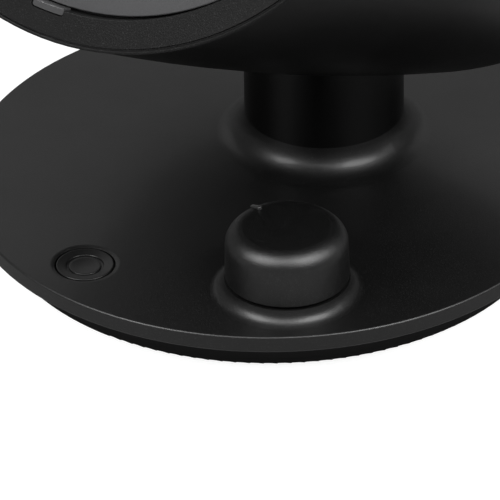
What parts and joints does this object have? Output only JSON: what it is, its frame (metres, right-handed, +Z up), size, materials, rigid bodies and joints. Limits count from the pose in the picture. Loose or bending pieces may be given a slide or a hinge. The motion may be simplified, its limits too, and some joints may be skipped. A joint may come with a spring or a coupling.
{
  "type": "smart home hub",
  "caption": "Tabletop hub with a round weighted base, a rotary dial, a push button, a stout column and a large drum head with a round front panel that swivels and tilts.",
  "frame": {"origin": "centre of the underside of the base's rubber foot, on the surface it stands on", "axes": "+Z up; -Y towards the front, where the round panel faces; +X to the right seen from behind"},
  "size_m": [0.2408, 0.2621, 0.3184],
  "materials": {
    "base_black": "satin, fine moulded grain",
    "column_black": "satin, fine moulded grain",
    "drum_black": "satin, fine moulded grain",
    "bezel_grey": "matte, fine moulded grain",
    "panel_grey": "smooth satin",
    "dial_black": "satin, sparkling moulded grain",
    "button_black": "satin",
    "gloss_black": "polished",
    "lens_grey": "polished",
    "rubber_black": "matte",
    "zinc_steel": "zinc plated",
    "bright_steel": "ground",
    "brass_contact": "plated",
    "magnet_dark": "matte",
    "cast_alloy": "die cast",
    "nylon_black": "moulded",
    "board_green": "solder mask"
  },
  "bodies": {
    "base": {"base_plate": "base_black", "base_tray": "base_black", "foot_pad": "rubber_black", "ballast": "zinc_steel", "control_board": "board_green", "power_board": "board_green", "power_inlet": "zinc_steel", "inlet_contacts": "brass_contact", "dial_sensor": "nylon_black", "dial_nut": "zinc_steel", "switch_body": "nylon_black", "column": "column_black", "column_flange": "zinc_steel", "column_cap": "nylon_black", "base_screws": "zinc_steel", "column_screws": "zinc_steel"},
    "dial": {"dial_cap": "dial_black", "dial_pointer": "gloss_black", "dial_shaft": "bright_steel"},
    "button": {"button_cap": "button_black", "switch_plunger": "nylon_black"},
    "swivel": {"swivel_yoke": "cast_alloy", "swivel_disc": "nylon_black", "swivel_clip": "zinc_steel"},
    "head": {"head_shell": "drum_black", "rear_cover": "drum_black", "rear_cover_screws": "zinc_steel", "front_bezel": "bezel_grey", "indicator_lens": "lens_grey", "front_panel": "panel_grey", "panel_gasket": "rubber_black", "display_module": "nylon_black", "head_chassis": "cast_alloy", "chassis_screws": "zinc_steel", "main_board": "board_green", "board_chips": "magnet_dark", "heat_sink": "cast_alloy", "radio_board": "board_green", "radio_shield": "zinc_steel", "speaker_basket": "zinc_steel", "speaker_cone": "rubber_black", "speaker_magnet": "magnet_dark", "tilt_pin": "bright_steel", "tilt_nut": "zinc_steel", "tilt_washers": "nylon_black"}
  },
  "joints": [
    {"name": "dial_turn", "type": "hinge", "parent": "base", "child": "dial", "pos_m": [0.04705, -0.05489, 0.03], "axis": [0, 0, 1], "range_deg": [-216, 84]},
    {"name": "button_press", "type": "slide", "parent": "base", "child": "button", "axis": [0, 0, -1], "range_m": [0, 0.0015], "stiffness_N_per_m": 1200, "springref_m": -0.0005},
    {"name": "head_swivel", "type": "hinge", "parent": "base", "child": "swivel", "pos_m": [0, 0.0275, 0.112], "axis": [0, 0, 1], "range_deg": [-90, 90]},
    {"name": "head_tilt", "type": "hinge", "parent": "swivel", "child": "head", "pos_m": [0, 0.0275, 0.177], "axis": [-1, 0, 0], "range_deg": [-20, 5]}
  ]
}
